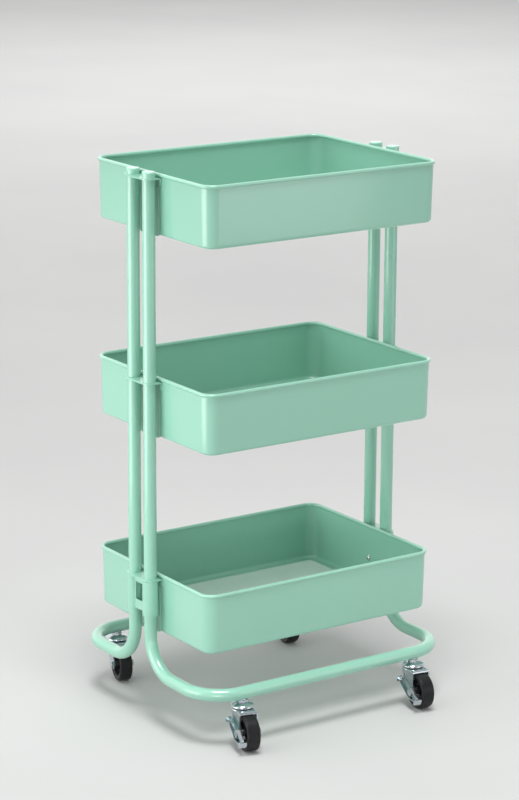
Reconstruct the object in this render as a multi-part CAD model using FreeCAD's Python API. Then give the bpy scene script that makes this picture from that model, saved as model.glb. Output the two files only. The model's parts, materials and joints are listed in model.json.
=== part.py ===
import FreeCAD, Part
import math
import os
from FreeCAD import Placement, Rotation, Vector

# Rolling utility cart: three trays between two pairs of posts, on a bent tube base with swivel casters.
# Millimetres. X along the trays' long side, Y across, Z up. The origin is on the floor under the middle.

# ---- Casters ----
STEM_FROM_POST = 57.0        # stem inboard of the posts, along X
TRAIL = 24.0                 # axle behind the stem
WHEEL_DIAMETER = 50.0
WHEEL_WIDTH = 19.0
HUB_DIAMETER = 39.0
HUB_BOSS_DIAMETER = 14.0
HUB_WEB = 5.0
HUB_RIM = 2.5
HUB_SIDE_GAP = 0.2           # hub boss to fork leg
TYRE_SHOULDER = 3.0
WHEEL_TOP_GAP = 1.4          # wheel to the lip of the fork's crown
FORK_SHEET = 2.0
FORK_LIP = 1.5               # crown's front edge bent down, under the crown's sheet
FORK_INNER_WIDTH = 23.0
FORK_FRONT = 25.0            # crown and legs in front of the stem
FORK_SKIRT = 5.0             # crown's rear skirt, down from its top
FORK_FLARE = 16.0            # height over which the crown narrows from the race to the legs
FORK_EDGE_RADIUS = 3.0       # outside of the bends round the crown
FORK_EYE_RADIUS = 7.2
FORK_HEEL = 6.5              # rear edge of the legs, in front of the crown's rear
FORK_HEEL_DROP = 13.5        # where the legs' rear edge starts to slope, down from the crown's top
AXLE_DIAMETER = 6.0
AXLE_FLATS = 10.0
AXLE_HEAD_HEIGHT = 3.2
AXLE_NUT_HEIGHT = 3.2
AXLE_TIP = 0.4               # bolt past its nut
AXLE_GAP = 0.06              # radial running gap in the hub
STEM_DIAMETER = 8.0
STEM_INSERTION = 14.0        # stem inside the base tube
LOCK_NUT_FLATS = 13.0
LOCK_NUT_HEIGHT = 4.0
RACE_DIAMETER = 32.4
RACE_TOP_DIAMETER = 19.0
RACE_HEIGHT = 5.3
RACE_LIP = 2.6
RACE_SHOULDER_RADIUS = 3.4
RACE_SHEET = 1.4
RACE_LIP_GAP = 1.1           # lip over the fork's crown
BALL_DIAMETER = 4.0
BALL_CIRCLE_DIAMETER = 22.4
BALL_COUNT = 16
BALL_GAP = 0.1
SWIVEL_PIN_DIAMETER = 12.0
SWIVEL_GAP = 0.08            # radial running gap of the pin
THRUST_WASHER_DIAMETER = 18.0
THRUST_WASHER_SHEET = 1.5
THRUST_GAP = 0.3
RIVET_HEAD_DIAMETER = 10.0
RIVET_HEAD_HEIGHT = 1.4
INSERT_DIAMETER = 11.0
THREAD_GAP = 0.05

# Direction in which each wheel trails its stem, in degrees from +X.
CASTER_HEADINGS = {"left_front": -103.5, "right_front": -98.5, "left_rear": -104.0, "right_rear": -99.0}

# ---- Brake levers, on the front casters ----
BRAKE_SHEET = 1.6
BRAKE_BOSS_RADIUS = 8.6
BRAKE_REAR_RADIUS = 4.2
BRAKE_FRONT_RADIUS = 3.6
BRAKE_GAP = 0.3              # lever to fork leg and to bolt head
BRAKE_EDGE = 5.8             # turned-out edge beside the axle, from the lever's back
BRAKE_END_EDGE = 3.6         # and at the lever's ends
BRAKE_PEDAL_WIDTH = 7.5      # rear pedal, outwards from the lever's back
BRAKE_PEDAL_HEIGHT = 8.0
BRAKE_FOOT_WIDTH = 8.5       # front pedal, outwards from the lever's back
BRAKE_FOOT_HEIGHT = 9.0
BRAKE_TONGUE_WIDTH = 5.0
BRAKE_TONGUE_PLACE = 0.62    # along the front arm's upper edge
BRAKE_WHEEL_GAP = 0.8        # front pedal and tongue to the plane of the tyre's side
BRAKE_REAR_END = Vector(-4.0, 0, 34.5)       # from the stem's axis and the floor, along the trail
BRAKE_FRONT_END = Vector(42.0, 0, 17.5)

# ---- Base tubes ----
BASE_DIAMETER = 18.0
BASE_WALL = 1.5
BASE_REACH = 165.2           # long run from the cart's middle
BASE_BEND_RADIUS = 54.0      # vertical leg to short run
BASE_CORNER_RADIUS = 55.0    # short run to long run
BASE_IN_SLEEVE = 22.0
SPIGOT_LENGTH = 24.0
SPIGOT_CONE = 2.0
PUSH_FIT_GAP = 0.15          # radial

# ---- Trays ----
TRAY_LENGTH = 381.0          # outside of the walls at the rim
TRAY_WIDTH = 289.6
TRAY_DEPTH = 83.5            # rim centre-line to the underside
TRAY_SHEET = 0.7
TRAY_DRAFT = 1.6             # lean of each wall from rim to underside
TRAY_CORNER_RADIUS = 20.0    # outside, at the rim
TRAY_FLOOR_RADIUS = 5.0      # outside bend between floor and wall
RIM_DIAMETER = 5.5
RIM_INSET = 0.5              # rim centre-line inside the wall's outer face
RIM_OVER_BASE = 137.6        # lowest rim centre-line over the base tube's centre-line
TIER_PITCH = 281.3

# ---- Brackets ----
BRACKET_SHEET = 2.0
FLANGE_BELOW_RIM = 3.0       # top of the flange under the rim centre-line
FLANGE_MARGIN = 2.4          # flange outside the posts
BEND_RADIUS = 1.0            # inside of the bend
EAR_DEPTH = 12.5             # full-width part of the web under the flange
EAR_RADIUS = 5.5
WEB_WIDTH = 48.0
WEB_FOOT_RADIUS = 4.0
SLEEVE_DIAMETER = 22.6
SLEEVE_LENGTH = 51.0
SLEEVE_GAP = 0.2             # sleeve to web, at the flange
STRAP_SHEET = 2.0
STRAP_OFFSET = 5.0           # strap outside the posts' centre-line
STRAP_LENGTH = 47.5
WINDOW_BELOW_FLANGE = 10.5
WINDOW_HEIGHT = 25.5

# ---- Posts and caps ----
POST_DIAMETER = 18.0
POST_WALL = 1.2
POST_SPACING = 40.0          # between the posts of a pair
POST_HOLE_GAP = 0.1          # radial, in the flanges and sleeves
CAP_DIAMETER = 18.8
CAP_HEIGHT = 8.5
CAP_EDGE_RADIUS = 1.8
CAP_PLUG_LENGTH = 14.0
CAP_PLUG_WALL = 1.6

# ---- Tray screws ----
SCREW_DIAMETER = 5.0
SCREW_HEAD_DIAMETER = 9.5
SCREW_HEAD_HEIGHT = 2.7
SCREW_SOCKET_FLATS = 3.0
SCREW_SOCKET_DEPTH = 1.6
SCREW_TIP = 1.0              # screw past its nut
SCREW_HOLE_GAP = 0.25
SCREWS_BELOW_RIM = (48.0, 70.0)
WELD_NUT_FLATS = 8.0
WELD_NUT_HEIGHT = 3.2

# ---- Heights above the floor, from the wheels up ----
AXLE_HEIGHT = WHEEL_DIAMETER / 2
CROWN_UNDERSIDE = WHEEL_DIAMETER + WHEEL_TOP_GAP + FORK_LIP
CROWN_TOP = CROWN_UNDERSIDE + FORK_SHEET
RACE_BOTTOM = CROWN_TOP + RACE_LIP_GAP
RACE_TOP = RACE_BOTTOM + RACE_HEIGHT
BASE_UNDERSIDE = RACE_TOP + LOCK_NUT_HEIGHT
BASE_HEIGHT = BASE_UNDERSIDE + BASE_DIAMETER / 2
RIM_HEIGHTS = {name: BASE_HEIGHT + RIM_OVER_BASE + tier * TIER_PITCH
               for tier, name in enumerate(("bottom", "middle", "top"))}

# ---- Positions in plan ----
WALL_SLOPE = TRAY_DRAFT / TRAY_DEPTH
WEB_AT_FLANGE = TRAY_LENGTH / 2 - FLANGE_BELOW_RIM * WALL_SLOPE + BRACKET_SHEET
POST_X = WEB_AT_FLANGE + SLEEVE_GAP + SLEEVE_DIAMETER / 2
POST_Y = POST_SPACING / 2
CASTER_SPACING = 2 * (POST_X - STEM_FROM_POST)
FLANGE_REACH = POST_DIAMETER / 2 + FLANGE_MARGIN
FLANGE_HALF_WIDTH = POST_Y + FLANGE_REACH
FORK_HALF_WIDTH = FORK_INNER_WIDTH / 2 + FORK_SHEET
POST_BORE_DIAMETER = POST_DIAMETER - 2 * POST_WALL

# Ends and sides: -X is left and +X right, -Y is front and +Y rear.
ENDS = {"left": -1, "right": 1}
SIDES = {"front": -1, "rear": 1}

UP = Vector(0, 0, 1)
ALONG_X = Vector(1, 0, 0)
ALONG_Y = Vector(0, 1, 0)


# ---- Shape helpers ----
def unit(vector):
    return Vector(vector).normalize()


def rounded_outline(points, radii):
    """Closed wire through the points, each corner rounded by its own radius (0 leaves it sharp)."""
    starts, ends, edges = [], [], []
    count = len(points)
    for i, (corner, radius) in enumerate(zip(points, radii)):
        to_last = unit(points[i - 1] - corner)
        to_next = unit(points[(i + 1) % count] - corner)
        half_angle = to_last.getAngle(to_next) / 2
        reach = radius / math.tan(half_angle) if radius else 0.0
        starts.append(corner + to_last * reach)
        ends.append(corner + to_next * reach)
        if radius:
            bisector = unit(to_last + to_next)
            middle = corner + bisector * (radius / math.sin(half_angle) - radius)
            edges.append(Part.Arc(starts[i], middle, ends[i]).toShape())
    for i in range(count):
        begin, finish = ends[i], starts[(i + 1) % count]
        if begin.distanceToPoint(finish) > 1e-6:
            edges.append(Part.LineSegment(begin, finish).toShape())
    return Part.Wire(Part.sortEdges(edges)[0])


def rounded_rectangle(length, width, radius, height):
    x, y = length / 2, width / 2
    corners = [Vector(-x, -y, height), Vector(x, -y, height), Vector(x, y, height), Vector(-x, y, height)]
    return rounded_outline(corners, [radius] * 4)


def prism(wire, direction):
    return Part.Face(wire).extrude(direction)


def loft(*wires):
    return Part.makeLoft(list(wires), True, True)


def cylinder(diameter, height, base, axis=UP):
    return Part.makeCylinder(diameter / 2, height, base, axis)


def pipe(diameter, bore, height, base, axis=UP):
    return cylinder(diameter, height, base, axis).cut(cylinder(bore, height, base, axis))


def hexagon(flats, height, base, axis=UP):
    """Hexagonal prism standing on base along axis."""
    radius = flats / math.sqrt(3)
    corners = [Vector(radius * math.cos(math.pi * k / 3), radius * math.sin(math.pi * k / 3), 0)
               for k in range(6)]
    solid = prism(Part.makePolygon(corners + corners[:1]), UP * height)
    solid.Placement = Placement(base, Rotation(UP, axis))
    return solid


def chamfered_hexagon(flats, height, base, axis=UP):
    """Hexagon whose top corners are turned off at 30 degrees, as on a nut or bolt head."""
    radius = flats / math.sqrt(3)
    drop = (radius - flats / 2) * math.tan(math.radians(30))
    outline = [Vector(0, 0, 0), Vector(radius, 0, 0), Vector(radius, 0, height - drop),
               Vector(flats / 2, 0, height), Vector(0, 0, height)]
    turned = turn(outline)
    turned.Placement = Placement(base, Rotation(UP, axis))
    return hexagon(flats, height, base, axis).common(turned)


def turn(points):
    """Solid of revolution about Z from an outline in the XZ plane."""
    return Part.Face(Part.makePolygon(points + points[:1])).revolve(Vector(0, 0, 0), UP, 360)


def tangent_normals(centre_a, radius_a, centre_b, radius_b):
    """Outward normals of the two outer tangents of two discs in the XZ plane."""
    along = unit(centre_b - centre_a)
    across = Vector(-along.z, 0, along.x)
    lean = (radius_a - radius_b) / (centre_b - centre_a).Length
    rise = math.sqrt(1 - lean * lean)
    return [along * lean + across * rise, along * lean - across * rise]


def disc_hull(centre_a, radius_a, centre_b, radius_b, thickness_direction):
    """Flat link: two discs in the XZ plane joined by their outer tangents."""
    normals = tangent_normals(centre_a, radius_a, centre_b, radius_b)
    corners = [centre_a + normals[0] * radius_a, centre_b + normals[0] * radius_b,
               centre_b + normals[1] * radius_b, centre_a + normals[1] * radius_a]
    web = prism(Part.makePolygon(corners + corners[:1]), thickness_direction)
    axis = unit(thickness_direction)
    discs = [cylinder(2 * radius, thickness_direction.Length, centre, axis)
             for centre, radius in ((centre_a, radius_a), (centre_b, radius_b))]
    return web.fuse(discs)


def sweep(path, diameter):
    """Round bar along a wire."""
    start = path.Edges[0].valueAt(path.Edges[0].FirstParameter)
    tangent = path.Edges[0].tangentAt(path.Edges[0].FirstParameter)
    circle = Part.Wire(Part.makeCircle(diameter / 2, start, tangent))
    return path.makePipeShell([circle], True, True)


def clean(shape):
    """One tidy solid from a boolean result."""
    solids = shape.removeSplitter().Solids
    return solids[0] if len(solids) == 1 else Part.makeCompound(solids)


def half_turn(shape):
    """The same piece at the cart's other end."""
    turned = shape.copy()
    turned.rotate(Vector(0, 0, 0), UP, 180)
    return turned


# ---- Places on the trays' right-hand end wall ----
def wall_x(below_rim):
    """Outer face of the end wall at a depth under the rim's centre-line."""
    return TRAY_LENGTH / 2 - below_rim * WALL_SLOPE


WALL_NORMAL = unit(Vector(1, 0, -WALL_SLOPE))


def wall_point(rim_height, below_rim):
    return Vector(wall_x(below_rim), 0, rim_height - below_rim)


def screw_hole(rim_height, below_rim):
    reach = 3 * BRACKET_SHEET
    base = wall_point(rim_height, below_rim) - WALL_NORMAL * reach
    return cylinder(SCREW_DIAMETER + 2 * SCREW_HOLE_GAP, 2 * reach, base, WALL_NORMAL)


# ---- Tray ----
def tray_shell(rim_height, inset):
    """Drafted pan with rounded corners and floor bend, moved inwards by inset."""
    floor = rim_height - TRAY_DEPTH + inset
    lean = TRAY_DRAFT - inset * WALL_SLOPE
    length, width = TRAY_LENGTH - 2 * inset, TRAY_WIDTH - 2 * inset
    radius = TRAY_CORNER_RADIUS - inset
    body = loft(rounded_rectangle(length - 2 * lean, width - 2 * lean, radius - lean, floor),
                rounded_rectangle(length, width, radius, rim_height))
    floor_edges = [edge for edge in body.Edges
                   if all(abs(vertex.Z - floor) < 1e-6 for vertex in edge.Vertexes)]
    return body.makeFillet(TRAY_FLOOR_RADIUS - inset, floor_edges)


def tray(rim_height):
    pan = tray_shell(rim_height, 0).cut(tray_shell(rim_height, TRAY_SHEET))
    rim_path = rounded_rectangle(TRAY_LENGTH - 2 * RIM_INSET, TRAY_WIDTH - 2 * RIM_INSET,
                                 TRAY_CORNER_RADIUS - RIM_INSET, rim_height)
    pan = pan.fuse(sweep(rim_path, RIM_DIAMETER))
    for below_rim in SCREWS_BELOW_RIM:
        hole = screw_hole(rim_height, below_rim)
        pan = pan.cut(hole).cut(half_turn(hole))
    return clean(pan)


# ---- Brackets, modelled at the right-hand end ----
def plain_bracket(rim_height):
    """Flange round the posts, bent down into a web that lies on the end wall."""
    flange_top = rim_height - FLANGE_BELOW_RIM
    foot = rim_height - TRAY_DEPTH
    sheet = WALL_NORMAL * BRACKET_SHEET
    wall_foot = Vector(wall_x(TRAY_DEPTH), 0, foot)
    wall_top = Vector(wall_x(FLANGE_BELOW_RIM), 0, flange_top)
    edge_x = POST_X + FLANGE_REACH
    inside_top = wall_x(FLANGE_BELOW_RIM + BRACKET_SHEET) + BRACKET_SHEET / WALL_NORMAL.x
    profile = rounded_outline(
        [wall_foot, wall_top, Vector(edge_x, 0, flange_top), Vector(edge_x, 0, flange_top - BRACKET_SHEET),
         Vector(inside_top, 0, flange_top - BRACKET_SHEET), wall_foot + sheet],
        [0, BEND_RADIUS + BRACKET_SHEET, 0, 0, BEND_RADIUS, 0])
    half = FLANGE_HALF_WIDTH
    bent_sheet = prism(profile, ALONG_Y * 2 * half).translated(Vector(0, -half, 0))
    inner_x = TRAY_LENGTH / 2 - TRAY_DEPTH
    plan = rounded_outline(
        [Vector(inner_x, -half, foot), Vector(edge_x, -half, foot),
         Vector(edge_x, half, foot), Vector(inner_x, half, foot)],
        [0, FLANGE_REACH, FLANGE_REACH, 0])
    ear_foot = flange_top - EAR_DEPTH
    side = rounded_outline(
        [Vector(inner_x, -half, flange_top), Vector(inner_x, -half, ear_foot),
         Vector(inner_x, -WEB_WIDTH / 2, ear_foot), Vector(inner_x, -WEB_WIDTH / 2, foot),
         Vector(inner_x, WEB_WIDTH / 2, foot), Vector(inner_x, WEB_WIDTH / 2, ear_foot),
         Vector(inner_x, half, ear_foot), Vector(inner_x, half, flange_top)],
        [0, EAR_RADIUS, 1.0, WEB_FOOT_RADIUS, WEB_FOOT_RADIUS, 1.0, EAR_RADIUS, 0])
    bracket = bent_sheet.common(prism(plan, UP * TRAY_DEPTH))
    bracket = bracket.common(prism(side, ALONG_X * (edge_x - inner_x)))
    for below_rim in SCREWS_BELOW_RIM:
        bracket = bracket.cut(screw_hole(rim_height, below_rim))
    for side_sign in SIDES.values():
        hole_base = Vector(POST_X, side_sign * POST_Y, flange_top - 2 * BRACKET_SHEET)
        bracket = bracket.cut(cylinder(POST_DIAMETER + 2 * POST_HOLE_GAP, 3 * BRACKET_SHEET, hole_base))
    return bracket


def sleeve(rim_height, side_sign):
    """Socket under the bottom flange where a base tube meets a post, chamfered to clear the bend."""
    top = rim_height - FLANGE_BELOW_RIM - BRACKET_SHEET
    radius, bore, chamfer = SLEEVE_DIAMETER / 2, POST_DIAMETER / 2 + POST_HOLE_GAP, BEND_RADIUS
    profile = [Vector(bore, 0, top - SLEEVE_LENGTH), Vector(radius, 0, top - SLEEVE_LENGTH),
               Vector(radius, 0, top - chamfer), Vector(radius - chamfer, 0, top), Vector(bore, 0, top)]
    return turn(profile).translated(Vector(POST_X, side_sign * POST_Y, 0))


def strap(rim_height):
    """Windowed plate that ties the two sleeves together."""
    top = rim_height - FLANGE_BELOW_RIM - BRACKET_SHEET
    window = WINDOW_HEIGHT
    half_gap = POST_Y - SLEEVE_DIAMETER / 2
    plate = Part.makeBox(STRAP_SHEET, POST_SPACING, STRAP_LENGTH,
                         Vector(POST_X + STRAP_OFFSET - STRAP_SHEET / 2, -POST_Y, top - STRAP_LENGTH))
    opening = Part.makeBox(3 * STRAP_SHEET, 2 * half_gap, window,
                           Vector(POST_X + STRAP_OFFSET - 1.5 * STRAP_SHEET, -half_gap,
                                  top - WINDOW_BELOW_FLANGE + BRACKET_SHEET - window))
    return plate.cut(opening)


def bottom_bracket(rim_height):
    sleeves = [sleeve(rim_height, side) for side in SIDES.values()]
    joined = plain_bracket(rim_height).fuse(sleeves + [strap(rim_height)])
    for side_sign in SIDES.values():
        base = Vector(POST_X, side_sign * POST_Y, rim_height - TRAY_DEPTH)
        joined = joined.cut(cylinder(POST_DIAMETER + 2 * POST_HOLE_GAP, TRAY_DEPTH, base))
    return joined


def bracket(tier):
    maker = bottom_bracket if tier == "bottom" else plain_bracket
    return clean(maker(RIM_HEIGHTS[tier]))


# ---- Posts and caps ----
SLEEVE_FOOT = RIM_HEIGHTS["bottom"] - FLANGE_BELOW_RIM - BRACKET_SHEET - SLEEVE_LENGTH
POST_FOOT = SLEEVE_FOOT + BASE_IN_SLEEVE
POST_HEAD = RIM_HEIGHTS["top"] - FLANGE_BELOW_RIM


def post(x, y):
    return pipe(POST_DIAMETER, POST_BORE_DIAMETER, POST_HEAD - POST_FOOT, Vector(x, y, POST_FOOT))


def cap(x, y):
    """Domed head on the post's end, with a hollow plug inside the bore."""
    radius, edge = CAP_DIAMETER / 2, CAP_EDGE_RADIUS
    plug = POST_BORE_DIAMETER / 2 - PUSH_FIT_GAP
    core = plug - CAP_PLUG_WALL
    top = POST_HEAD + CAP_HEIGHT
    foot = POST_HEAD - CAP_PLUG_LENGTH
    outline = [Vector(0, 0, POST_HEAD), Vector(core, 0, POST_HEAD), Vector(core, 0, foot),
               Vector(plug, 0, foot),
               Vector(plug, 0, POST_HEAD), Vector(radius, 0, POST_HEAD), Vector(radius, 0, top),
               Vector(0, 0, top)]
    wire = rounded_outline(outline, [0, 0, 0, 0, 0, 0, edge, 0])
    solid = Part.Face(wire).revolve(Vector(0, 0, 0), UP, 360)
    return solid.translated(Vector(x, y, 0))


# ---- Base tubes ----
def base_path(side_sign):
    """Centre-line: down from the left sleeve, out, along the floor run and up into the right sleeve."""
    top = Vector(0, side_sign * POST_Y, POST_FOOT)
    knee = Vector(0, side_sign * POST_Y, BASE_HEIGHT)
    corner = Vector(0, side_sign * BASE_REACH, BASE_HEIGHT)
    points = [Vector(end * POST_X, point.y, point.z)
              for end, order in ((-1, (top, knee, corner)), (1, (corner, knee, top))) for point in order]
    radii = [0, BASE_BEND_RADIUS, BASE_CORNER_RADIUS, BASE_CORNER_RADIUS, BASE_BEND_RADIUS, 0]
    edges = []
    begin = points[0]
    for i in range(1, len(points) - 1):
        back = unit(points[i - 1] - points[i])
        ahead = unit(points[i + 1] - points[i])
        into, out = points[i] + back * radii[i], points[i] + ahead * radii[i]
        middle = points[i] + (back + ahead) * radii[i] * (1 - math.sqrt(0.5))
        edges.append(Part.LineSegment(begin, into).toShape())
        edges.append(Part.Arc(into, middle, out).toShape())
        begin = out
    edges.append(Part.LineSegment(begin, points[-1]).toShape())
    return Part.Wire(edges)


def spigot():
    """Swaged end of a base tube, standing on its shoulder at height 0."""
    outer, inner = POST_BORE_DIAMETER / 2 - PUSH_FIT_GAP, POST_BORE_DIAMETER / 2 - PUSH_FIT_GAP - BASE_WALL
    outline = [Vector(inner, 0, 0), Vector(BASE_DIAMETER / 2 - BASE_WALL, 0, -SPIGOT_CONE),
               Vector(BASE_DIAMETER / 2, 0, -SPIGOT_CONE), Vector(BASE_DIAMETER / 2, 0, 0),
               Vector(outer, 0, 0), Vector(outer, 0, SPIGOT_LENGTH), Vector(inner, 0, SPIGOT_LENGTH)]
    return turn(outline)


def base_tube(side_sign):
    path = base_path(side_sign)
    tube = sweep(path, BASE_DIAMETER).cut(sweep(path, BASE_DIAMETER - 2 * BASE_WALL))
    for end in ENDS.values():
        tube = tube.fuse(spigot().translated(Vector(end * POST_X, side_sign * POST_Y, POST_FOOT)))
        hole_base = Vector(end * CASTER_SPACING / 2, side_sign * BASE_REACH, BASE_UNDERSIDE - BASE_WALL)
        tube = tube.cut(cylinder(INSERT_DIAMETER, BASE_DIAMETER / 2, hole_base))
    return clean(tube)


def stem_inserts():
    """Threaded inserts in the base tubes' undersides, one for each caster stem."""
    return Part.makeCompound([
        pipe(INSERT_DIAMETER, STEM_DIAMETER + 2 * THREAD_GAP, STEM_INSERTION, Vector(x, y, BASE_UNDERSIDE))
        for x, y in STEMS.values()])


# ---- Tray screws and weld nuts ----
def tray_screw(rim_height, below_rim):
    """Button-head screw from inside the tray through wall and web."""
    length = TRAY_SHEET + BRACKET_SHEET + WELD_NUT_HEIGHT + SCREW_TIP
    radius, head = SCREW_DIAMETER / 2, SCREW_HEAD_DIAMETER / 2
    crown = head / 2
    outline = [Vector(0, 0, length), Vector(radius, 0, length), Vector(radius, 0, 0), Vector(head, 0, 0),
               Vector(crown, 0, -SCREW_HEAD_HEIGHT), Vector(0, 0, -SCREW_HEAD_HEIGHT)]
    wire = rounded_outline(outline, [0, 0, 0, 0, SCREW_HEAD_HEIGHT, 0])
    screw = Part.Face(wire).revolve(Vector(0, 0, 0), UP, 360)
    screw = screw.cut(hexagon(SCREW_SOCKET_FLATS, SCREW_SOCKET_DEPTH, Vector(0, 0, -SCREW_HEAD_HEIGHT)))
    seat = wall_point(rim_height, below_rim) - WALL_NORMAL * TRAY_SHEET
    screw.Placement = Placement(seat, Rotation(UP, WALL_NORMAL))
    return screw


def weld_nut(rim_height, below_rim):
    seat = wall_point(rim_height, below_rim) + WALL_NORMAL * BRACKET_SHEET
    nut = chamfered_hexagon(WELD_NUT_FLATS, WELD_NUT_HEIGHT, seat, WALL_NORMAL)
    bore = cylinder(SCREW_DIAMETER + 2 * THREAD_GAP, WELD_NUT_HEIGHT, seat, WALL_NORMAL)
    return nut.cut(bore)


def at_every_screw(maker):
    """The maker's piece at both ends of every tray."""
    pieces = []
    for rim_height in RIM_HEIGHTS.values():
        for below_rim in SCREWS_BELOW_RIM:
            piece = maker(rim_height, below_rim)
            pieces += [piece, half_turn(piece)]
    return Part.makeCompound(pieces)


# ---- Caster, modelled with its stem on Z and its wheel trailing along +X ----
STEMS = {end_name + "_" + side_name: (end * CASTER_SPACING / 2, side * BASE_REACH)
         for side_name, side in SIDES.items() for end_name, end in ENDS.items()}
AXLE = Vector(TRAIL, 0, AXLE_HEIGHT)


def in_place(shape, corner):
    """Turn a caster piece to its heading and move it under its corner of the base."""
    x, y = STEMS[corner]
    shape = shape.copy()
    turned = Placement(Vector(x, y, 0), Rotation(UP, CASTER_HEADINGS[corner]))
    shape.Placement = turned.multiply(shape.Placement)
    return shape


def on_axle(shape):
    """Move a piece turned about Z onto the axle, with its +Z pointing along +Y."""
    shape = shape.copy()
    shape.Placement = Placement(AXLE, Rotation(UP, ALONG_Y)).multiply(shape.Placement)
    return shape


def race_dome(inset):
    """Corners of the race's dome from its lip to its top, moved inwards by inset."""
    lip, crest = RACE_DIAMETER / 2 - inset, RACE_TOP_DIAMETER / 2
    return [Vector(lip, 0, RACE_BOTTOM), Vector(lip, 0, RACE_BOTTOM + RACE_LIP),
            Vector(crest, 0, RACE_TOP - inset)]


def caster_stem():
    """Threaded stem, domed upper race, swivel pin and riveted thrust washer in one piece."""
    pin, stem = SWIVEL_PIN_DIAMETER / 2, STEM_DIAMETER / 2
    washer, rivet = THRUST_WASHER_DIAMETER / 2, RIVET_HEAD_DIAMETER / 2
    washer_top = CROWN_UNDERSIDE - THRUST_GAP
    washer_foot = washer_top - THRUST_WASHER_SHEET
    rivet_foot = washer_foot - RIVET_HEAD_HEIGHT
    stem_top = BASE_UNDERSIDE + STEM_INSERTION
    under = [Vector(0, 0, rivet_foot), Vector(rivet - RIVET_HEAD_HEIGHT / 2, 0, rivet_foot),
             Vector(rivet, 0, washer_foot), Vector(washer, 0, washer_foot), Vector(washer, 0, washer_top),
             Vector(pin, 0, washer_top), Vector(pin, 0, RACE_TOP - RACE_SHEET)]
    over = [Vector(stem, 0, RACE_TOP), Vector(stem, 0, stem_top), Vector(0, 0, stem_top)]
    points = under + race_dome(RACE_SHEET)[::-1] + race_dome(0) + over
    inner, outer = len(under) + 1, len(under) + 4
    radii = [0.0] * len(points)
    radii[inner], radii[outer] = RACE_SHOULDER_RADIUS - RACE_SHEET, RACE_SHOULDER_RADIUS
    return Part.Face(rounded_outline(points, radii)).revolve(Vector(0, 0, 0), UP, 360)


def caster_lock_nut():
    nut = chamfered_hexagon(LOCK_NUT_FLATS, LOCK_NUT_HEIGHT, Vector(0, 0, RACE_TOP))
    return nut.cut(cylinder(STEM_DIAMETER + 2 * THREAD_GAP, LOCK_NUT_HEIGHT, Vector(0, 0, RACE_TOP)))


def caster_balls():
    height = CROWN_TOP + BALL_GAP + BALL_DIAMETER / 2
    ball = Part.makeSphere(BALL_DIAMETER / 2, Vector(BALL_CIRCLE_DIAMETER / 2, 0, height))
    balls = []
    for k in range(BALL_COUNT):
        placed = ball.copy()
        placed.rotate(Vector(0, 0, 0), UP, 360 * k / BALL_COUNT)
        balls.append(placed)
    return Part.makeCompound(balls)


def fork_bell(inset):
    """Closed body of the fork, moved inwards by inset: a flared disc under the race over a channel."""
    top = CROWN_TOP - inset
    edge = FORK_EDGE_RADIUS - inset
    half = FORK_HALF_WIDTH - inset
    race, waist = RACE_DIAMETER / 2 - inset, half - FORK_SHEET / 4
    profile = rounded_outline([Vector(0, 0, top - FORK_FLARE), Vector(waist, 0, top - FORK_FLARE),
                               Vector(race, 0, top - edge), Vector(race, 0, top), Vector(0, 0, top)],
                              [0, 0, 0, edge * 0.9, 0])
    crown = Part.Face(profile).revolve(Vector(0, 0, 0), UP, 360)
    front = AXLE.x + 2 * FORK_EYE_RADIUS + inset
    channel = cylinder(2 * half, top, Vector(0, 0, 0)).fuse(
        Part.makeBox(front, 2 * half, top, Vector(0, -half, 0))).removeSplitter()
    rim = [e for e in channel.Edges
           if all(abs(v.Z - top) < 1e-6 and v.X < front - 1e-6 or abs(abs(v.Y) - half) < 1e-6
                   for v in e.Vertexes)
           and abs(e.CenterOfMass.z - top) < 1e-6]
    return crown.fuse(channel.makeFillet(edge, rim))


def eye_corner(before, centre, radius, after):
    """Corner of an outline that, rounded by radius, turns clockwise round the centre in the XZ plane."""
    def tangent(point, turn_sign):
        to_centre = centre - point
        lean = turn_sign * math.asin(radius / to_centre.Length)
        cosine, sine = math.cos(lean), math.sin(lean)
        return Vector(to_centre.x * cosine - to_centre.z * sine, 0,
                      to_centre.x * sine + to_centre.z * cosine)
    into, back = tangent(before, 1), tangent(after, -1)
    span = after - before
    reach = (span.x * back.z - span.z * back.x) / (into.x * back.z - into.z * back.x)
    return before + into * reach


def fork_side():
    """Side view of the stamping: crown, rear skirt, sloping rear edge and the axle eyes."""
    rear = RACE_DIAMETER / 2 + 1
    shoulder = Vector(FORK_FRONT, 0, AXLE.z + 1.5 * FORK_EYE_RADIUS)
    heel = Vector(FORK_HEEL - RACE_DIAMETER / 2, 0, CROWN_TOP - FORK_HEEL_DROP)
    skirt = CROWN_TOP - FORK_SKIRT
    eye = eye_corner(shoulder, Vector(AXLE.x, 0, AXLE.z), FORK_EYE_RADIUS, heel)
    points = [Vector(-rear, 0, CROWN_TOP), Vector(FORK_FRONT, 0, CROWN_TOP), shoulder, eye, heel,
              Vector(heel.x, 0, skirt), Vector(-rear, 0, skirt)]
    wire = rounded_outline(points, [0, FORK_EDGE_RADIUS, 5.0, FORK_EYE_RADIUS, 4.0, 2.0, 0])
    return prism(wire, ALONG_Y * 4 * FORK_HALF_WIDTH).translated(Vector(0, -2 * FORK_HALF_WIDTH, 0))


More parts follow.
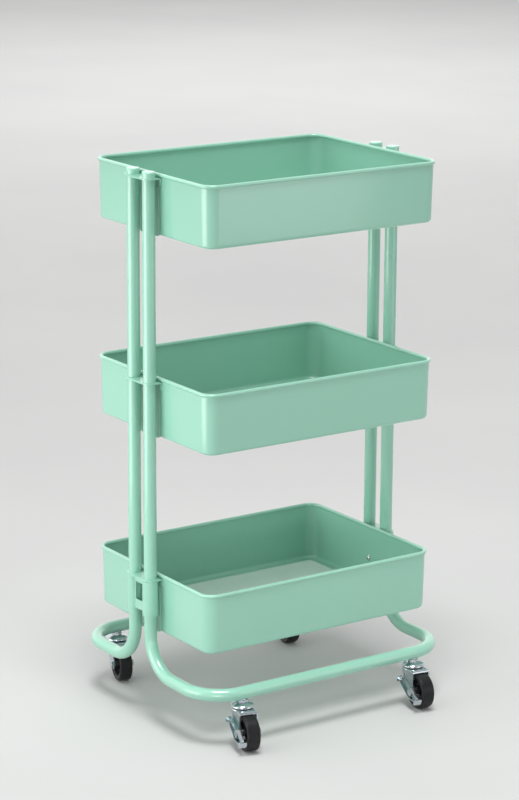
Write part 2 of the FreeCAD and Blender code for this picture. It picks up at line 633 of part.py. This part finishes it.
def caster_fork():
    lip = Part.makeBox(FORK_SHEET, 4 * FORK_HALF_WIDTH, FORK_SHEET + FORK_LIP,
                       Vector(FORK_FRONT - FORK_SHEET, -2 * FORK_HALF_WIDTH, CROWN_UNDERSIDE - FORK_LIP))
    shell = fork_bell(0).cut(fork_bell(FORK_SHEET).cut(lip)).common(fork_side())
    pin_hole = cylinder(SWIVEL_PIN_DIAMETER + 2 * SWIVEL_GAP, 3 * FORK_SHEET,
                        Vector(0, 0, CROWN_UNDERSIDE - FORK_SHEET))
    axle_hole = cylinder(AXLE_DIAMETER + 2 * THREAD_GAP, 4 * FORK_HALF_WIDTH,
                         AXLE - ALONG_Y * 2 * FORK_HALF_WIDTH, ALONG_Y)
    return clean(shell.cut(pin_hole).cut(axle_hole))


def brake_stack(corner):
    """Room the brake lever takes between the bolt head and the fork leg."""
    return BRAKE_SHEET + 2 * BRAKE_GAP if corner.endswith("front") else 0.0


def axle_bolt(corner):
    stack = brake_stack(corner)
    shank = AXLE_DIAMETER / 2
    length = 2 * FORK_HALF_WIDTH + stack + AXLE_NUT_HEIGHT + AXLE_TIP
    bolt = cylinder(2 * shank, length, Vector(0, 0, 0)).fuse(
        chamfered_hexagon(AXLE_FLATS, AXLE_HEAD_HEIGHT, Vector(0, 0, 0), UP * -1))
    return on_axle(clean(bolt).translated(Vector(0, 0, -FORK_HALF_WIDTH - stack)))


def axle_nut():
    base = Vector(0, 0, FORK_HALF_WIDTH)
    nut = chamfered_hexagon(AXLE_FLATS, AXLE_NUT_HEIGHT, base)
    return on_axle(nut.cut(cylinder(AXLE_DIAMETER + 2 * THREAD_GAP, AXLE_NUT_HEIGHT, base)))


def wheel_hub():
    """Dished plastic wheel centre: boss, thin web and rim."""
    bore = AXLE_DIAMETER / 2 + AXLE_GAP
    boss, rim = HUB_BOSS_DIAMETER / 2, HUB_DIAMETER / 2
    half_length = FORK_INNER_WIDTH / 2 - HUB_SIDE_GAP
    half_web, half_rim = HUB_WEB / 2, WHEEL_WIDTH / 2 - TYRE_SHOULDER / 2
    side = [(bore, half_length), (boss, half_length), (boss + 1.5, half_web),
            (rim - HUB_RIM - 1.5, half_web), (rim - HUB_RIM, half_rim), (rim, half_rim)]
    outline = [Vector(r, 0, z) for r, z in side] + [Vector(r, 0, -z) for r, z in reversed(side)]
    return on_axle(turn(outline))


def wheel_tyre():
    inner, outer = HUB_DIAMETER / 2, WHEEL_DIAMETER / 2
    half = WHEEL_WIDTH / 2
    seat = half - TYRE_SHOULDER / 2
    outline = [Vector(inner, 0, -seat), Vector(outer - TYRE_SHOULDER, 0, -half), Vector(outer, 0, -half),
               Vector(outer, 0, half), Vector(outer - TYRE_SHOULDER, 0, half), Vector(inner, 0, seat)]
    wire = rounded_outline(outline, [0, 0, TYRE_SHOULDER * 0.9, TYRE_SHOULDER * 0.9, 0, 0])
    return on_axle(Part.Face(wire).revolve(Vector(0, 0, 0), UP, 360))


def lever_outline(inset, lift, depth):
    """Solid of the lever's side view, moved inwards by inset: wide at the axle, narrow at both ends."""
    rear, front = (disc_hull(AXLE + lift, BRAKE_BOSS_RADIUS - inset, end + lift, radius - inset, depth)
                   for end, radius in ((BRAKE_REAR_END, BRAKE_REAR_RADIUS),
                                       (BRAKE_FRONT_END, BRAKE_FRONT_RADIUS)))
    return rear.fuse(front)


def lever_depth(back):
    """How far the lever reaches outwards from its back: deepest beside the axle."""
    rear, front = BRAKE_REAR_END.x - 2 * BRAKE_REAR_RADIUS, BRAKE_FRONT_END.x + 2 * BRAKE_FRONT_RADIUS
    flat = BRAKE_BOSS_RADIUS / 2
    corners = [(rear, 0), (rear, BRAKE_END_EDGE), (AXLE.x - flat, BRAKE_EDGE), (AXLE.x + flat, BRAKE_EDGE),
               (front, BRAKE_END_EDGE), (front, 0)]
    wire = Part.makePolygon([Vector(x, back - depth, 0) for x, depth in corners + corners[:1]])
    return prism(wire, UP * CROWN_TOP)


def brake_pedal(end, radius, outer, inner, height):
    """Plate across one end of the lever, from outer to inner along Y, with rounded corners."""
    arm = unit(end - AXLE)
    plate = Part.makeBox(BRAKE_SHEET, inner - outer, height, Vector(-BRAKE_SHEET, outer, -height / 2))
    free = [edge for edge in plate.Edges if abs(edge.Length - BRAKE_SHEET) < 1e-6
            and (edge.Vertexes[0].Y < (outer + inner) / 2 or end is BRAKE_FRONT_END)]
    plate = plate.makeFillet(height / 4, free)
    plate.Placement = Placement(end + arm * radius, Rotation(ALONG_X, arm))
    return plate


def brake_tongue(back, inner):
    """Tab that carries the front arm's upper edge inwards, towards the wheel."""
    normal = tangent_normals(AXLE, BRAKE_BOSS_RADIUS, BRAKE_FRONT_END, BRAKE_FRONT_RADIUS)[0]
    start, stop = AXLE + normal * BRAKE_BOSS_RADIUS, BRAKE_FRONT_END + normal * BRAKE_FRONT_RADIUS
    tab = Part.makeBox(BRAKE_TONGUE_WIDTH, inner - back + BRAKE_SHEET, BRAKE_SHEET,
                       Vector(-BRAKE_TONGUE_WIDTH / 2, back - BRAKE_SHEET, -BRAKE_SHEET))
    free = [edge for edge in tab.Edges
            if abs(edge.tangentAt(0).z) > 0.9 and edge.Vertexes[0].Y > (back + inner) / 2]
    tab = tab.makeFillet(BRAKE_TONGUE_WIDTH / 4, free)
    tab.Placement = Placement(start + (stop - start) * BRAKE_TONGUE_PLACE, Rotation(ALONG_X, stop - start))
    return tab


def brake_lever():
    """Dished lever on the axle with turned-out edges, a pedal at each end and a tongue at the wheel."""
    back = -FORK_HALF_WIDTH - BRAKE_GAP
    by_wheel = -WHEEL_WIDTH / 2 - BRAKE_WHEEL_GAP
    outside, inside = ALONG_Y * (back - BRAKE_EDGE), ALONG_Y * (back - BRAKE_EDGE - 1)
    body = lever_outline(0, outside, ALONG_Y * BRAKE_EDGE)
    hollow = lever_outline(BRAKE_SHEET, inside, ALONG_Y * (BRAKE_EDGE + 1 - BRAKE_SHEET))
    lever = body.cut(hollow).common(lever_depth(back))
    lever = lever.fuse([
        brake_pedal(BRAKE_REAR_END, BRAKE_REAR_RADIUS, back - BRAKE_PEDAL_WIDTH, back, BRAKE_PEDAL_HEIGHT),
        brake_pedal(BRAKE_FRONT_END, BRAKE_FRONT_RADIUS, back - BRAKE_FOOT_WIDTH, by_wheel,
                    BRAKE_FOOT_HEIGHT),
        brake_tongue(back, by_wheel)])
    hole = cylinder(AXLE_DIAMETER + 2 * AXLE_GAP, 3 * BRAKE_SHEET,
                    AXLE + ALONG_Y * (back - 2 * BRAKE_SHEET), ALONG_Y)
    return clean(lever.cut(hole))


# ---- Every node, written to its own file ----
def build():
    nodes = {}
    for tier, rim_height in RIM_HEIGHTS.items():
        nodes["tray_" + tier] = tray(rim_height)
        right = bracket(tier)
        nodes["bracket_" + tier + "_right"] = right
        nodes["bracket_" + tier + "_left"] = half_turn(right)
    for end_name, end in ENDS.items():
        for side_name, side in SIDES.items():
            place = end_name + "_" + side_name
            nodes["post_" + place] = post(end * POST_X, side * POST_Y)
            nodes["cap_" + place] = cap(end * POST_X, side * POST_Y)
    for side_name, side in SIDES.items():
        nodes["base_tube_" + side_name] = base_tube(side)
    nodes["stem_inserts"] = stem_inserts()
    nodes["tray_screws"] = at_every_screw(tray_screw)
    nodes["tray_weld_nuts"] = at_every_screw(weld_nut)
    caster_pieces = {"caster_stem": caster_stem(), "caster_lock_nut": caster_lock_nut(),
                     "caster_balls": caster_balls(), "caster_fork": caster_fork(),
                     "axle_nut": axle_nut(), "wheel_hub": wheel_hub(), "wheel_tyre": wheel_tyre()}
    for corner in STEMS:
        for name, shape in caster_pieces.items():
            nodes[name + "_" + corner] = in_place(shape, corner)
        nodes["axle_bolt_" + corner] = in_place(axle_bolt(corner), corner)
        if brake_stack(corner):
            nodes["brake_lever_" + corner] = in_place(brake_lever(), corner)
    return nodes


os.makedirs("parts", exist_ok=True)
for node_name, node_shape in build().items():
    node_shape.exportStep("parts/" + node_name + ".step")
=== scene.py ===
import json
import math

import bmesh
import bpy
from mathutils import Matrix, Vector
from mathutils.geometry import delaunay_2d_cdt


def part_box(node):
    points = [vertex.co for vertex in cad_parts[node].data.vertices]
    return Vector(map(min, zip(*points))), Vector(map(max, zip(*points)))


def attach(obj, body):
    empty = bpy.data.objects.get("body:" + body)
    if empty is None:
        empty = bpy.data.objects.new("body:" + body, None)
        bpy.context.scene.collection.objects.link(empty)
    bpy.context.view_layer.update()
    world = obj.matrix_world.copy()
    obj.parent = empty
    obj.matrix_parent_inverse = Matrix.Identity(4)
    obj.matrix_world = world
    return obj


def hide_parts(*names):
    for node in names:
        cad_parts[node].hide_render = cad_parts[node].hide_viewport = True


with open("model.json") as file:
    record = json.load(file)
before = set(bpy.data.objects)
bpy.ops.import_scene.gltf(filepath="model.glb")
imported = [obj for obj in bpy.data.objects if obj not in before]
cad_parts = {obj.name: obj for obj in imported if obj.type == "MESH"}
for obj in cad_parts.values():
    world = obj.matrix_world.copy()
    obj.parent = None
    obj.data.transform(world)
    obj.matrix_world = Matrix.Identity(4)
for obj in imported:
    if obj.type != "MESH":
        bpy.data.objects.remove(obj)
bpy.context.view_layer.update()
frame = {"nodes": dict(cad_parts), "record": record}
nodes = frame["nodes"]
MM = 0.001

# ---- The photograph's viewing angle ----
CAMERA_PLACE = (-2.10116, -3.05813, 1.39431)
CAMERA_YAW, CAMERA_PITCH, CAMERA_ROLL = 34.517, 14.605, 0.381    # degrees
CAMERA_LENS, CAMERA_SENSOR = 121.97, 36.0                        # focal length, sensor height
CAMERA_SHIFT = (-0.00765, 0.0036)
CAMERA_CLIP = (0.05, 100.0)

# ---- Trays, with the CAD's sizes ----
TRAY_DRAFT = 1.6 * MM         # the wall's lean from rim to floor
TRAY_SHEET = 0.7 * MM
TRAY_CORNER = 20.0 * MM       # corner radius at the rim
TRAY_BEND = 5.0 * MM          # outer radius between wall and floor
RIM_RADIUS = 2.75 * MM
RIM_INSET = 0.5 * MM          # rim's centre-line inside the wall's outer face
CORNER_STEPS = 14
BEAD_STEPS = 20
BEND_STEPS = 6
SHARP_ANGLE = 50.0            # degrees between faces that shade apart

# ---- Pierced floors ----
FLOOR_MARGIN = 13.0 * MM      # from the wall at the rim to the innermost loop of the pan
MESH_MARGIN = 15.5 * MM       # from the wall at the rim to the outermost cells' centres
MESH_PITCH = 4.2 * MM         # from hole to hole along a row of diamonds
MESH_HOLE = 0.63              # hole against cell
WELD = 1e-7                   # points nearer than this are one in the border's triangles

# ---- Colours ----
MINT_TONE = (0.262, 0.545, 0.420)
CAP_TONE = (0.285, 0.580, 0.450)
ZINC_TONE = (0.56, 0.62, 0.66)
HUB_TONE = (0.008, 0.008, 0.009)
TYRE_TONE = (0.010, 0.010, 0.011)
GROUND_DARKER = (0.525, 0.525, 0.523)
GROUND_LIGHTER = (0.555, 0.555, 0.549)
ROOM_DARKER = (0.34, 0.345, 0.35)
ROOM_LIGHTER = (1.0, 1.0, 0.99)

# ---- Room ----
GROUND_SIZE = 60.0
ROOM_STRENGTH = 1.22
ROOM_BRIGHT_WAY = (0.0, 0.9, -0.4)      # towards the brightest side
ROOM_SPREAD = (-0.8, 0.65)              # share of that way where the room is darkest and brightest

# Sockets of a colour mix
MIX_FACTOR, MIX_FIRST, MIX_SECOND, MIX_RESULT = 0, 6, 7, 2


# ---- Materials ----
def new_material(name):
    material = bpy.data.materials.new(name)
    material.use_nodes = True
    tree = material.node_tree
    return material, tree, tree.nodes["Principled BSDF"]


def node(tree, kind, **values):
    """New node. A value goes to the socket of that name, or else to the node's own setting."""
    made = tree.nodes.new(kind)
    for key, value in values.items():
        if key in made.inputs:
            made.inputs[key].default_value = value
        else:
            setattr(made, key, value)
    return made


def noise(tree, scale, detail, roughness=0.5):
    """Noise on the object's own coordinates."""
    place = node(tree, "ShaderNodeTexCoord")
    made = node(tree, "ShaderNodeTexNoise", Scale=scale, Detail=detail, Roughness=roughness)
    tree.links.new(place.outputs["Object"], made.inputs["Vector"])
    return made.outputs["Fac"]


def spread(tree, factor, low, high, start=0.3, end=0.7):
    """Numbers from low to high as the factor goes from start to end."""
    made = node(tree, "ShaderNodeMapRange")
    made.inputs["From Min"].default_value = start
    made.inputs["From Max"].default_value = end
    made.inputs["To Min"].default_value = low
    made.inputs["To Max"].default_value = high
    tree.links.new(factor, made.inputs["Value"])
    return made.outputs["Result"]


def mixed(tree, factor, first, second):
    """Colour from first to second. The factor is a number or a socket, and so is each colour."""
    made = node(tree, "ShaderNodeMix", data_type="RGBA")
    for index, colour in ((MIX_FIRST, first), (MIX_SECOND, second)):
        if isinstance(colour, tuple):
            made.inputs[index].default_value = (*colour, 1.0)
        else:
            tree.links.new(colour, made.inputs[index])
    if isinstance(factor, float):
        made.inputs[MIX_FACTOR].default_value = factor
    else:
        tree.links.new(factor, made.inputs[MIX_FACTOR])
    return made.outputs[MIX_RESULT]


def drifting(tree, scale, detail, first, second):
    """Colour that drifts between two with a noise."""
    return mixed(tree, spread(tree, noise(tree, scale, detail), 0.0, 1.0), first, second)


def bump(tree, shader, height, distance, normal=None):
    made = node(tree, "ShaderNodeBump", Distance=distance, Strength=1.0)
    tree.links.new(height, made.inputs["Height"])
    if normal:
        tree.links.new(normal, made.inputs["Normal"])
    tree.links.new(made.outputs["Normal"], shader.inputs["Normal"])
    return made.outputs["Normal"]


def powder_coat(name, tone, roughness):
    """Powder coat under a clear gloss: faint drift of tone, orange peel and a fine grain."""
    material, tree, shader = new_material(name)
    link = tree.links.new
    lighter = tuple(min(1.0, c * 1.035 + 0.004) for c in tone)
    darker = tuple(c * 0.965 for c in tone)
    speckled = tuple(c * 0.985 for c in tone)
    drift = drifting(tree, 5.0, 3.0, darker, lighter)
    grain = drifting(tree, 1500.0, 1.0, speckled, lighter)
    link(mixed(tree, 0.35, drift, grain), shader.inputs["Base Color"])
    link(spread(tree, noise(tree, 40.0, 3.0), roughness - 0.035, roughness + 0.035),
         shader.inputs["Roughness"])
    shader.inputs["Coat Weight"].default_value = 1.0
    shader.inputs["Coat Roughness"].default_value = 0.12
    peel = bump(tree, shader, noise(tree, 420.0, 1.0), 0.03 * MM)
    bump(tree, shader, noise(tree, 1900.0, 1.0), 0.008 * MM, normal=peel)
    return material


def zinc_plate(name, tone, roughness):
    """Bright zinc: bluish with faint warm patches and an uneven shine."""
    material, tree, shader = new_material(name)
    link = tree.links.new
    warm = (tone[0] * 1.04, tone[1] * 1.0, tone[2] * 0.94)
    cool = (tone[0] * 0.96, tone[1] * 0.99, tone[2] * 1.03)
    link(drifting(tree, 70.0, 2.0, warm, cool), shader.inputs["Base Color"])
    shader.inputs["Metallic"].default_value = 1.0
    link(spread(tree, noise(tree, 180.0, 3.0, 0.6), roughness - 0.04, roughness + 0.06),
         shader.inputs["Roughness"])
    bump(tree, shader, noise(tree, 500.0, 3.0, 0.6), 0.01 * MM)
    return material


def black_moulding(name, tone, roughness, grain_scale, specular):
    """Black plastic or rubber with a fine grain and a trace of dust."""
    material, tree, shader = new_material(name)
    link = tree.links.new
    dusty = tuple(c + 0.006 for c in tone)
    link(drifting(tree, 60.0, 4.0, tone, dusty), shader.inputs["Base Color"])
    link(spread(tree, noise(tree, 200.0, 3.0), roughness - 0.05, roughness + 0.06),
         shader.inputs["Roughness"])
    shader.inputs["Specular IOR Level"].default_value = specular
    bump(tree, shader, noise(tree, grain_scale, 2.0), 0.01 * MM)
    return material


def pale_ground(name):
    material, tree, shader = new_material(name)
    tree.links.new(drifting(tree, 1.5, 3.0, GROUND_DARKER, GROUND_LIGHTER),
                   shader.inputs["Base Color"])
    shader.inputs["Roughness"].default_value = 0.8
    shader.inputs["Specular IOR Level"].default_value = 0.15
    return material


FINISHES = {
    "mint_powder_coat": powder_coat("mint_powder_coat", MINT_TONE, 0.34),
    "mint_plastic": powder_coat("mint_moulding", CAP_TONE, 0.30),
    "zinc_plate": zinc_plate("zinc_plate", ZINC_TONE, 0.17),
    "black_plastic": black_moulding("black_moulding", HUB_TONE, 0.32, 1100.0, 0.3),
    "black_tyre": black_moulding("black_tyre", TYRE_TONE, 0.36, 700.0, 0.22),
}
for part in frame["record"]["subparts"]:
    shown = nodes[part["node"]]
    shown.data.materials.clear()
    shown.data.materials.append(FINISHES[part["material_slot"]])


# ---- Trays with pierced floors ----
def rim_loop(half_x, half_y, inset):
    """Points round the tray at an inset from its outer wall at the rim."""
    points = []
    for k, (sx, sy) in enumerate(((1, 1), (-1, 1), (-1, -1), (1, -1))):
        centre = Vector((sx * (half_x - TRAY_CORNER), sy * (half_y - TRAY_CORNER)))
        for step in range(CORNER_STEPS + 1):
            angle = math.radians(90 * (k + step / CORNER_STEPS))
            way = Vector((math.cos(angle), math.sin(angle)))
            points.append(centre + (TRAY_CORNER - inset) * way)
    return points


def tray_section(floor, rim):
    """Insets and heights up the inside, over the bead and down the outside, floor to floor."""
    def bend(radius):
        centre_inset, centre_height = TRAY_DRAFT + TRAY_BEND, floor + TRAY_BEND
        angles = [math.radians(90 * step / BEND_STEPS) for step in range(BEND_STEPS + 1)]
        return [(centre_inset - radius * math.sin(a), centre_height - radius * math.cos(a))
                for a in angles]
    inside = [(FLOOR_MARGIN, floor + TRAY_SHEET)] + bend(TRAY_BEND - TRAY_SHEET)
    outside = bend(TRAY_BEND)[::-1] + [(FLOOR_MARGIN, floor)]
    first = math.asin((TRAY_SHEET - RIM_INSET) / RIM_RADIUS)
    last = math.asin(RIM_INSET / RIM_RADIUS)
    turn = 2 * math.pi - first - last
    bead = []
    for step in range(BEAD_STEPS + 1):
        angle = first + turn * step / BEAD_STEPS
        bead.append((RIM_INSET + RIM_RADIUS * math.sin(angle), rim - RIM_RADIUS * math.cos(angle)))
    return inside + bead + outside


def floor_cells(half_x, half_y):
    """Centres of the diamond cells that fit inside the pierced field, by their half-pitch steps."""
    step = MESH_PITCH / 2
    columns, rows = int(half_x / step) + 1, int(half_y / step) + 1
    corner = TRAY_CORNER / 2
    straight_x, straight_y = half_x - MESH_MARGIN - corner, half_y - MESH_MARGIN - corner
    cells = {}
    for row in range(-rows, rows + 1):
        for column in range(-columns, columns + 1):
            if (row + column) % 2:
                continue
            x, y = column * step, row * step
            out_x, out_y = abs(x) - straight_x, abs(y) - straight_y
            past = math.hypot(out_x, out_y) if min(out_x, out_y) > 0 else max(out_x, out_y)
            if past < corner:
                cells[(column, row)] = Vector((x, y))
    return cells


def add_pan(mesh, half_x, half_y, floor, rim):
    """Walls, bead and bends. Returns the inner and the outer loop that the floor starts from."""
    loops = []
    for inset, height in tray_section(floor, rim):
        loops.append([mesh.verts.new((p.x, p.y, height)) for p in rim_loop(half_x, half_y, inset)])
    count = len(loops[0])
    for upper, lower in zip(loops, loops[1:]):
        for k in range(count):
            n = (k + 1) % count
            mesh.faces.new((upper[k], lower[k], lower[n], upper[n]))
    return loops[0], loops[-1]


def add_cells(mesh, cells, floor):
    """Diamond cells that share their corners, each with a hole whose lip is at mid-thickness.

    Returns each corner's upper and lower point, and the edges that only one cell uses.
    """
    top, bottom, middle = floor + TRAY_SHEET, floor, floor + TRAY_SHEET / 2
    step = MESH_PITCH / 2
    spokes = [Vector(p) for p in ((step, 0), (0, step), (-step, 0), (0, -step))]
    corners, uses = {}, {}
    for centre in cells.values():
        ring, lip = [], []
        for spoke in spokes:
            corner = centre + spoke
            key = (round(corner.x / step), round(corner.y / step))
            if key not in corners:
                corners[key] = (mesh.verts.new((corner.x, corner.y, top)),
                                mesh.verts.new((corner.x, corner.y, bottom)))
            hole = centre + MESH_HOLE * spoke
            ring.append(key)
            lip.append(mesh.verts.new((hole.x, hole.y, middle)))
        for k in range(len(spokes)):
            n = (k + 1) % len(spokes)
            (upper_k, lower_k), (upper_n, lower_n) = corners[ring[k]], corners[ring[n]]
            mesh.faces.new((upper_k, upper_n, lip[n], lip[k]))
            mesh.faces.new((lower_n, lower_k, lip[k], lip[n]))
            edge = tuple(sorted((ring[k], ring[n])))
            uses[edge] = uses.get(edge, 0) + 1
    return corners, [edge for edge, number in uses.items() if number == 1]


def add_margin(mesh, inner, outer, corners, border, cells):
    """Plain sheet from the pan's last loops to the outermost cells, above and below."""
    count = len(inner)
    keys = sorted({key for edge in border for key in edge})
    place = {key: count + k for k, key in enumerate(keys)}
    tops = inner + [corners[key][0] for key in keys]
    bottoms = outer + [corners[key][1] for key in keys]
    points = [Vector(v.co.xy) for v in tops]
    constraints = [(k, (k + 1) % count) for k in range(count)]
    constraints += [(place[a], place[b]) for a, b in border]
    _, _, triangles, originals, _, _ = delaunay_2d_cdt(points, constraints, [], 1, WELD)
    for triangle in triangles:
        ids = [originals[k][0] for k in triangle]
        x, y = sum((points[k] for k in ids), Vector((0, 0))) / 3
        rising, falling = round((x + y) / MESH_PITCH), round((x - y) / MESH_PITCH)
        if (rising + falling, rising - falling) in cells:
            continue
        mesh.faces.new([tops[k] for k in ids])
        mesh.faces.new([bottoms[k] for k in reversed(ids)])


def build_tray(name, cad_node):
    low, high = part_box(cad_node)
    half_x, half_y = (reach - RIM_RADIUS + RIM_INSET for reach in high.xy)
    floor, rim = low.z, high.z - RIM_RADIUS
    mesh = bmesh.new()
    inner, outer = add_pan(mesh, half_x, half_y, floor, rim)
    cells = floor_cells(half_x, half_y)
    corners, border = add_cells(mesh, cells, floor)
    add_margin(mesh, inner, outer, corners, border, cells)
    bmesh.ops.recalc_face_normals(mesh, faces=mesh.faces)
    data = bpy.data.meshes.new(name)
    mesh.to_mesh(data)
    mesh.free()
    data.shade_smooth()
    data.set_sharp_from_angle(angle=math.radians(SHARP_ANGLE))
    tray = bpy.data.objects.new(name, data)
    bpy.context.scene.collection.objects.link(tray)
    data.materials.append(FINISHES["mint_powder_coat"])
    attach(tray, "frame")
    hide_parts(cad_node)


for tier in ("top", "middle", "bottom"):
    build_tray("pierced_tray_" + tier, "tray_" + tier)


# ---- Stage ----
def add_ground(name, size):
    h = size / 2
    data = bpy.data.meshes.new(name)
    data.from_pydata([(-h, -h, 0), (h, -h, 0), (h, h, 0), (-h, h, 0)], [], [(0, 1, 2, 3)])
    data.materials.append(pale_ground("pale_floor"))
    ground = bpy.data.objects.new(name, data)
    bpy.context.scene.collection.objects.link(ground)


def area_light(name, place, target, width, power, height=0.0, beam=180.0):
    """Round softbox, or an upright one where it is given a height. The beam is in degrees."""
    data = bpy.data.lights.new(name, "AREA")
    data.shape = "RECTANGLE" if height else "DISK"
    data.size = width
    if height:
        data.size_y = height
    data.energy = power
    data.spread = math.radians(beam)
    lamp = bpy.data.objects.new(name, data)
    bpy.context.scene.collection.objects.link(lamp)
    lamp.location = place
    aim = Vector(target) - Vector(place)
    lamp.rotation_euler = aim.to_track_quat("-Z", "Y").to_euler()
    lamp.visible_camera = False


def studio_world():
    """Pale room, brightest low behind the cart and darker at the front and overhead."""
    world = bpy.data.worlds.new("studio")
    bpy.context.scene.world = world
    world.use_nodes = True
    tree = world.node_tree
    direction = node(tree, "ShaderNodeTexCoord")
    rearward = node(tree, "ShaderNodeVectorMath", operation="DOT_PRODUCT")
    rearward.inputs[1].default_value = ROOM_BRIGHT_WAY
    tree.links.new(direction.outputs["Generated"], rearward.inputs[0])
    share = spread(tree, rearward.outputs["Value"], 0.0, 1.0, *ROOM_SPREAD)
    background = tree.nodes["Background"]
    tree.links.new(mixed(tree, share, ROOM_DARKER, ROOM_LIGHTER), background.inputs["Color"])
    background.inputs["Strength"].default_value = ROOM_STRENGTH


add_ground("ground", GROUND_SIZE)
# Overhead, a little forward; left, which streaks posts and corners; a weak fill high at the left;
# front right, for the top tray's sheen; low at the front left, for light off the floor; and one
# that keeps the floor bright far behind the cart.
area_light("top_light", (-0.7, -1.2, 6.0), (-0.2, -0.2, 0.0), 2.2, 260)
area_light("left_light", (-1.05, 0.14, 0.53), (-0.15, 0.0, 0.53), 0.86, 2.3, height=0.94, beam=80)
area_light("left_high_light", (-2.2, -0.2, 1.9), (0.0, 0.0, 0.25), 1.1, 1.5)
area_light("front_light", (0.78, -1.70, 0.64), (0, 0, 0.64), 0.86, 1.45, height=1.12, beam=100)
area_light("low_light", (-1.35, -1.70, 0.28), (-0.08, -0.10, 0.09), 0.9, 0.32, height=0.36, beam=30)
area_light("far_light", (3.6, 5.3, 6.0), (3.6, 5.3, 0.0), 3.0, 50, beam=80)
studio_world()


# ---- Camera ----
def add_camera():
    yaw, pitch, roll = (math.radians(a) for a in (CAMERA_YAW, CAMERA_PITCH, CAMERA_ROLL))
    forward = Vector((math.sin(yaw) * math.cos(pitch),
                      math.cos(yaw) * math.cos(pitch),
                      -math.sin(pitch)))
    level = Vector((math.cos(yaw), -math.sin(yaw), 0.0))
    upward = level.cross(forward)
    right = math.cos(roll) * level + math.sin(roll) * upward
    up = -math.sin(roll) * level + math.cos(roll) * upward
    data = bpy.data.cameras.new("camera")
    data.sensor_fit = "VERTICAL"
    data.sensor_height = CAMERA_SENSOR
    data.lens = CAMERA_LENS
    data.shift_x, data.shift_y = CAMERA_SHIFT
    data.clip_start, data.clip_end = CAMERA_CLIP
    camera = bpy.data.objects.new("camera", data)
    bpy.context.scene.collection.objects.link(camera)
    rows = [(right[k], up[k], -forward[k], CAMERA_PLACE[k]) for k in range(3)]
    camera.matrix_world = Matrix((*rows, (0, 0, 0, 1)))
    bpy.context.scene.camera = camera


add_camera()
bpy.context.scene.view_settings.view_transform = "Standard"
